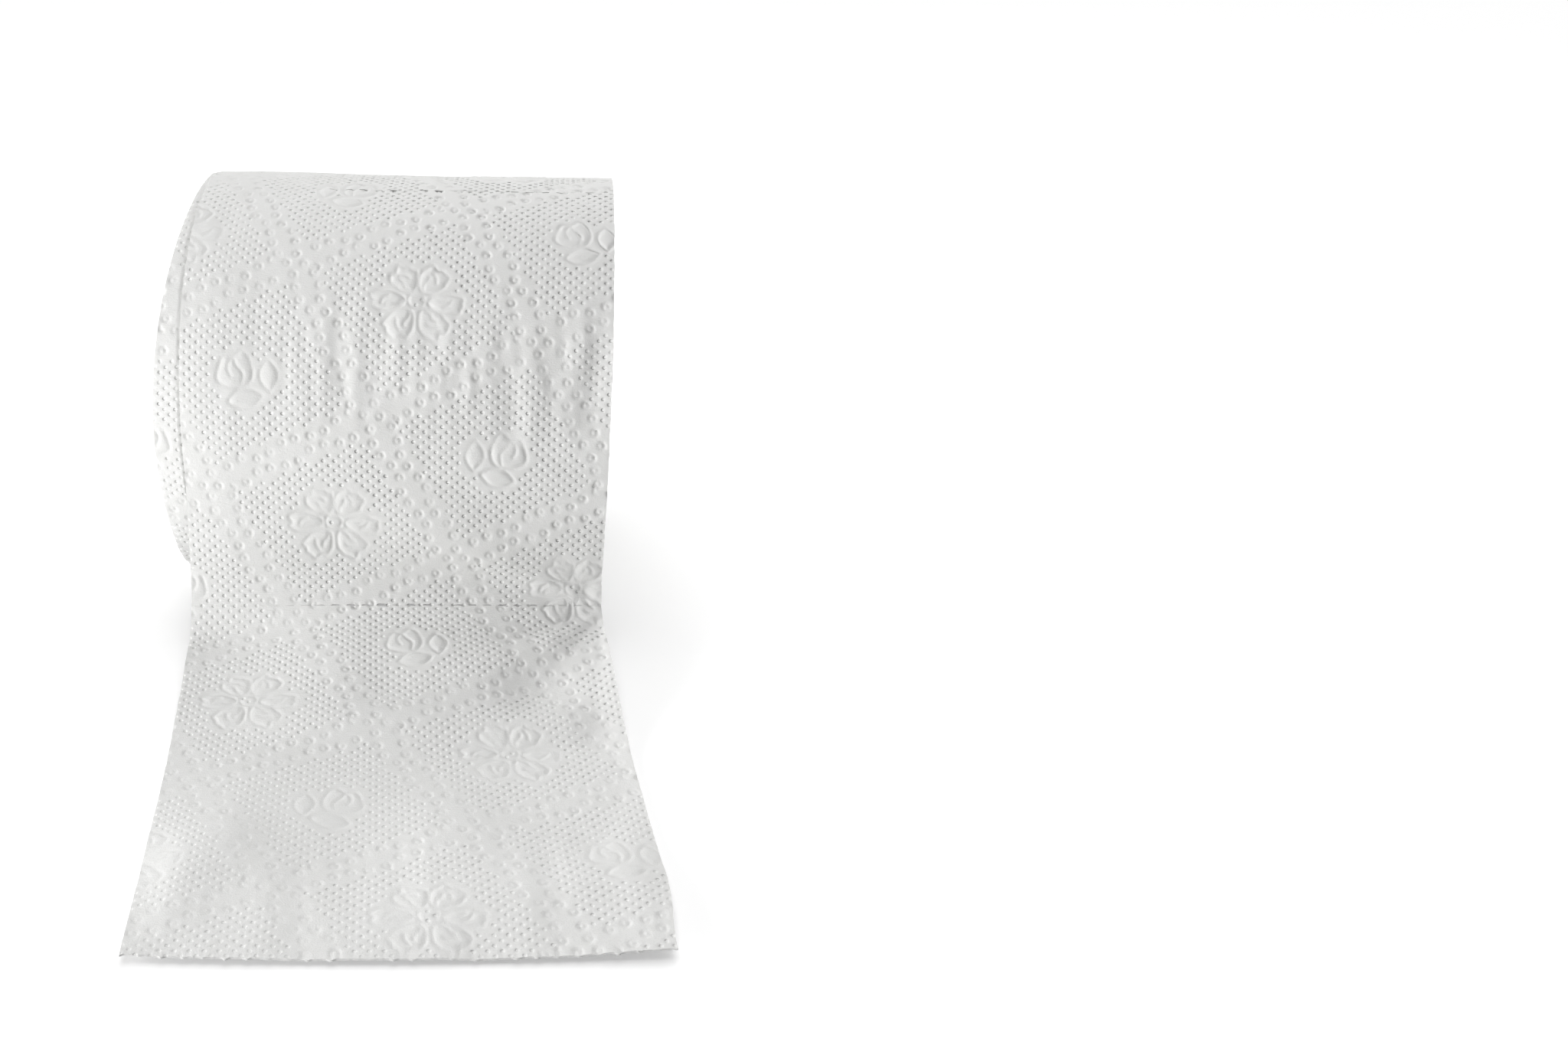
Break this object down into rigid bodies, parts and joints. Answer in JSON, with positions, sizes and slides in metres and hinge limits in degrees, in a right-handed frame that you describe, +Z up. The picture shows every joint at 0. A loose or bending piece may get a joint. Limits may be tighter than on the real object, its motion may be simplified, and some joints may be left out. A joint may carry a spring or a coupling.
{
  "type": "toilet paper roll",
  "caption": "Soft embossed white toilet paper roll on a cardboard core, lying on its side with one sheet pulled out in front of it.",
  "frame": {"origin": "on the surface that the roll rests on, under the winding's centre and half way along the core", "axes": "+X along the core, -Y towards the loose sheet, +Z up"},
  "size_m": [0.1181, 0.2185, 0.1038],
  "materials": {
    "tissue": "soft matt, embossed",
    "core_board": "matt grey board"
  },
  "bodies": {
    "root": {"paper": "tissue", "core": "core_board"}
  },
  "joints": []
}
